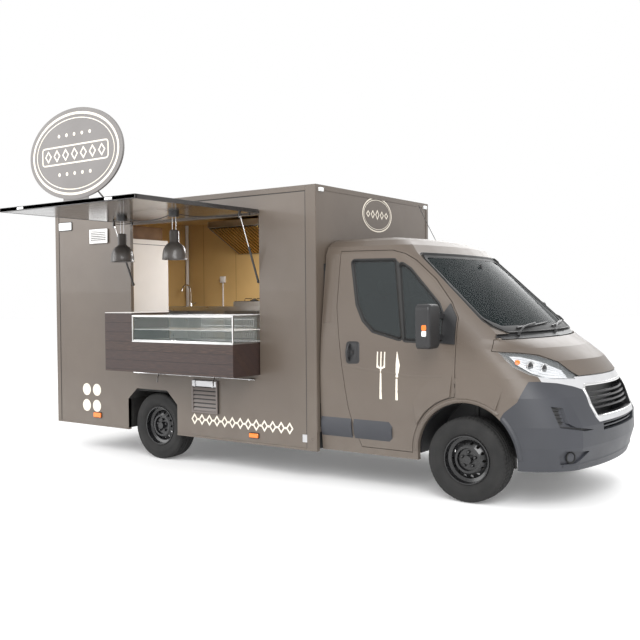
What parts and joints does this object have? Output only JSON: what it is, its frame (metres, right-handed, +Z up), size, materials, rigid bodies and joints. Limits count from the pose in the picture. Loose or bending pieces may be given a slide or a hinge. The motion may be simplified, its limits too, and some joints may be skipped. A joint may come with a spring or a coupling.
{
  "type": "food truck",
  "caption": "Two-seat cab on a ladder frame with a kitchen box, an open serving hatch on gas struts, a sliding counter and steered wheels.",
  "frame": {"origin": "on the floor below the middle of the whole truck's box, with the hatch open", "axes": "+X forward, +Y to the truck's left, +Z up"},
  "size_m": [6.4232, 3.87, 3.7619],
  "materials": {
    "body_paint": "matte taupe paint",
    "box_paint": "matte taupe panel",
    "dark_plastic": "grained dark grey plastic",
    "black_plastic": "black moulded plastic",
    "glass": "clear tinted glass",
    "chassis_black": "satin black frame paint",
    "cast": "cast and machined",
    "tyre": "treaded tyre",
    "rim_black": "black painted steel",
    "silver": "satin silver",
    "lamp_lens": "clear lens over chrome reflectors",
    "seat_fabric": "dark woven cloth",
    "wood": "dark wood planks",
    "steel": "brushed stainless steel",
    "white_panel": "white enamelled sheet",
    "box_floor": "grey anti slip floor",
    "hatch_dark": "dark frame with a glossy underside",
    "lamp_grey": "grey enamel shade",
    "sign": "grey and cream board",
    "chrome": "bright",
    "red_lens": "red lamp lens",
    "cable_black": "black cable sheath"
  },
  "bodies": {
    "truck": {"cab_body": "body_paint", "wings": "body_paint", "bumper": "dark_plastic", "grille": "silver", "headlamps": "lamp_lens", "windscreen": "glass", "cowl": "black_plastic", "cab_floor": "black_plastic", "dashboard": "black_plastic", "seats": "seat_fabric", "chassis_frame": "chassis_black", "rear_axle_beam": "chassis_black", "front_suspension": "chassis_black", "engine_block": "cast", "radiator": "black_plastic", "box_floor": "box_floor", "box_right": "box_paint", "box_left": "box_paint", "box_front_wall": "box_paint", "box_roof": "box_paint", "box_rear_wall": "box_paint", "worktop": "steel", "fridge": "white_panel", "range_hood": "steel", "cooker": "steel", "roof_sign": "sign", "rear_step": "chassis_black", "wall_vents": "white_panel", "rear_lamps": "red_lens"},
    "knuckle_right": {"knuckle_right": "cast"},
    "knuckle_left": {"knuckle_left": "cast"},
    "door_right": {"door_right": "body_paint", "door_glass_right": "glass", "mirror_right": "black_plastic"},
    "door_left": {"door_left": "body_paint", "door_glass_left": "glass", "mirror_left": "black_plastic"},
    "bonnet": {"bonnet": "body_paint"},
    "steering_wheel": {"steering_wheel": "black_plastic"},
    "hatch": {"hatch": "hatch_dark", "hatch_lamps": "lamp_grey", "lamp_cable": "cable_black"},
    "counter": {"counter": "wood", "display_frame": "steel", "display_glass": "glass"},
    "rear_door": {"rear_door": "box_paint"},
    "strut_cylinder_right": {"strut_cylinder_right": "black_plastic"},
    "strut_cylinder_left": {"strut_cylinder_left": "black_plastic"},
    "strut_rod_right": {"strut_rod_right": "chrome"},
    "strut_rod_left": {"strut_rod_left": "chrome"},
    "wheel_front_right": {"tyre_front_right": "tyre", "rim_front_right": "rim_black"},
    "wheel_front_left": {"tyre_front_left": "tyre", "rim_front_left": "rim_black"},
    "wheel_rear_right": {"tyre_rear_right": "tyre", "rim_rear_right": "rim_black"},
    "wheel_rear_left": {"tyre_rear_left": "tyre", "rim_rear_left": "rim_black"}
  },
  "joints": [
    {"name": "steer_right", "type": "hinge", "parent": "truck", "child": "knuckle_right", "pos_m": [2.264, -0.125, 0.341], "axis": [0, 0, 1], "range_deg": [-35, 35]},
    {"name": "spin_front_right", "type": "hinge", "parent": "knuckle_right", "child": "wheel_front_right", "pos_m": [2.264, -0.26, 0.341], "axis": [0, 1, 0], "continuous": true},
    {"name": "spin_rear_right", "type": "hinge", "parent": "truck", "child": "wheel_rear_right", "pos_m": [-1.186, -0.25, 0.341], "axis": [0, 1, 0], "continuous": true},
    {"name": "door_right_hinge", "type": "hinge", "parent": "truck", "child": "door_right", "pos_m": [2.1745, -0.375, 1], "axis": [0, 0, 1], "range_deg": [0, 70]},
    {"name": "steer_left", "type": "hinge", "parent": "truck", "child": "knuckle_left", "pos_m": [2.264, 1.415, 0.341], "axis": [0, 0, 1], "range_deg": [-35, 35]},
    {"name": "spin_front_left", "type": "hinge", "parent": "knuckle_left", "child": "wheel_front_left", "pos_m": [2.264, 1.55, 0.341], "axis": [0, 1, 0], "continuous": true},
    {"name": "spin_rear_left", "type": "hinge", "parent": "truck", "child": "wheel_rear_left", "pos_m": [-1.186, 1.54, 0.341], "axis": [0, 1, 0], "continuous": true},
    {"name": "door_left_hinge", "type": "hinge", "parent": "truck", "child": "door_left", "pos_m": [2.1745, 1.665, 1], "axis": [0, 0, -1], "range_deg": [0, 70]},
    {"name": "bonnet_hinge", "type": "hinge", "parent": "truck", "child": "bonnet", "pos_m": [2.489, 0.645, 1.296], "axis": [0, -1, 0], "range_deg": [0, 50]},
    {"name": "steering_wheel_turn", "type": "hinge", "parent": "truck", "child": "steering_wheel", "pos_m": [1.834, 1.075, 1.33], "axis": [-0.6157, 0, 0.788], "range_deg": [-540, 540]},
    {"name": "hatch_hinge", "type": "hinge", "parent": "truck", "child": "hatch", "pos_m": [-0.6535, -0.417, 2.44], "axis": [1, 0, 0], "range_deg": [0, 90]},
    {"name": "counter_slide", "type": "slide", "parent": "truck", "child": "counter", "axis": [0, 1, 0], "range_m": [0, 0.375]},
    {"name": "rear_door_hinge", "type": "hinge", "parent": "truck", "child": "rear_door", "pos_m": [-2.741, 1.176, 1.5], "axis": [0, 0, -1], "range_deg": [0, 110]},
    {"name": "strut_pivot_right", "type": "hinge", "parent": "truck", "child": "strut_cylinder_right", "pos_m": [0.184, -0.39, 1.8], "axis": [1, 0, 0], "range_deg": [-26.74, 0]},
    {"name": "strut_slide_right", "type": "slide", "parent": "strut_cylinder_right", "child": "strut_rod_right", "axis": [0, -0.3869, 0.9221], "range_m": [-0.21081, 0]},
    {"name": "strut_pivot_left", "type": "hinge", "parent": "truck", "child": "strut_cylinder_left", "pos_m": [-1.491, -0.39, 1.8], "axis": [1, 0, 0], "range_deg": [-26.74, 0]},
    {"name": "strut_slide_left", "type": "slide", "parent": "strut_cylinder_left", "child": "strut_rod_left", "axis": [0, -0.3869, 0.9221], "range_m": [-0.21081, 0]}
  ],
  "couplings": [
    {"joint": "steer_right", "follows": "steer_left", "ratio": 1},
    {"joint": "steering_wheel_turn", "follows": "steer_left", "ratio": 15},
    {"joint": "counter_slide", "follows": "hatch_hinge", "m_per_rad": 0.23873},
    {"joint": "strut_pivot_right", "follows": "hatch_hinge", "ratio": -0.29656},
    {"joint": "strut_slide_right", "follows": "hatch_hinge", "m_per_rad": -0.13389},
    {"joint": "strut_pivot_left", "follows": "hatch_hinge", "ratio": -0.29656},
    {"joint": "strut_slide_left", "follows": "hatch_hinge", "m_per_rad": -0.13389}
  ]
}
